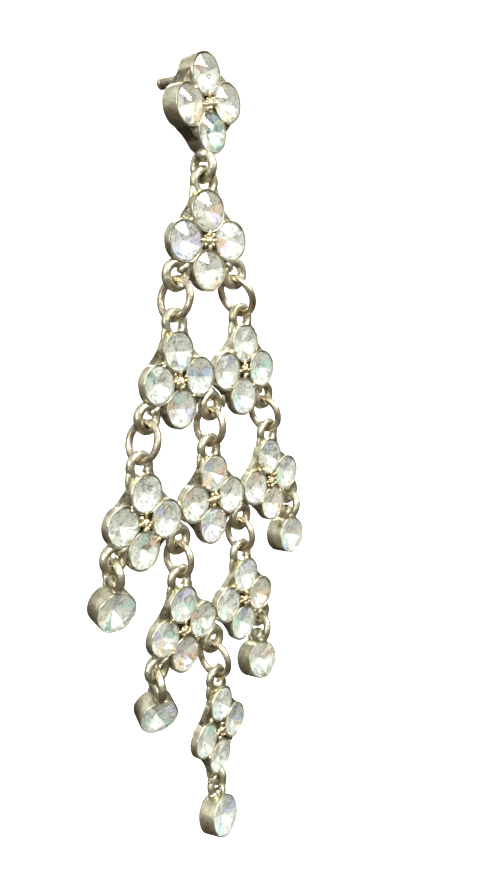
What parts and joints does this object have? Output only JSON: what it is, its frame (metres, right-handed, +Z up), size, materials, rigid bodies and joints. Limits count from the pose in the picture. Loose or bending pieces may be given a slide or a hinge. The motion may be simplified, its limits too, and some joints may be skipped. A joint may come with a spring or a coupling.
{
  "type": "chandelier earring",
  "caption": "Long drop earring: a round-lobed stud carries tiered rows of round stones in soldered cups, joined by wire links, with small single-stone drops at the ends.",
  "frame": {"origin": "on the post's axis, where it leaves the flat back of the stud", "axes": "+X along the rows, +Y back through the ear, +Z up"},
  "size_m": [0.0356, 0.0096, 0.096],
  "materials": {
    "metal": "worn pale silver-gold plating",
    "stone": "clear faceted glass with a mirror foil behind"
  },
  "bodies": {
    "stud": {"ear_post": "metal", "stud_setting": "metal", "stud_stone_bottom": "stone", "stud_stone_left": "stone", "stud_stone_right": "stone", "stud_stone_top": "stone"},
    "drop": {"drop_3_left": "metal", "drop_3_right": "metal", "drop_4_left": "metal", "drop_4_right": "metal", "drop_5": "metal", "link_1_to_2_left": "metal", "link_1_to_2_right": "metal", "link_2_to_3_left": "metal", "link_2_to_3_middle": "metal", "link_2_to_3_right": "metal", "link_3_to_4_left": "metal", "link_3_to_4_right": "metal", "link_4_to_5": "metal", "row_1_setting": "metal", "row_1_stone_bottom": "stone", "row_1_stone_left": "stone", "row_1_stone_right": "stone", "row_1_stone_top": "stone", "row_2_left_stone_bottom": "stone", "row_2_left_stone_left": "stone", "row_2_left_stone_right": "stone", "row_2_left_stone_top": "stone", "row_2_right_stone_bottom": "stone", "row_2_right_stone_left": "stone", "row_2_right_stone_right": "stone", "row_2_right_stone_top": "stone", "row_2_setting": "metal", "row_3_left_stone_bottom": "stone", "row_3_left_stone_left": "stone", "row_3_left_stone_right": "stone", "row_3_left_stone_top": "stone", "row_3_middle_stone_bottom": "stone", "row_3_middle_stone_left": "stone", "row_3_middle_stone_right": "stone", "row_3_middle_stone_top": "stone", "row_3_right_stone_bottom": "stone", "row_3_right_stone_left": "stone", "row_3_right_stone_right": "stone", "row_3_right_stone_top": "stone", "row_3_setting": "metal", "row_4_left_stone_bottom": "stone", "row_4_left_stone_left": "stone", "row_4_left_stone_right": "stone", "row_4_left_stone_top": "stone", "row_4_right_stone_bottom": "stone", "row_4_right_stone_left": "stone", "row_4_right_stone_right": "stone", "row_4_right_stone_top": "stone", "row_4_setting": "metal", "row_5_setting": "metal", "row_5_stone_bottom": "stone", "row_5_stone_left": "stone", "row_5_stone_right": "stone", "row_5_stone_top": "stone"}
  },
  "joints": [
    {"name": "drop_swing", "type": "hinge", "parent": "stud", "child": "drop", "pos_m": [0, -0.0014, -0.00957], "axis": [1, 0, 0], "range_deg": [-60, 60]}
  ]
}
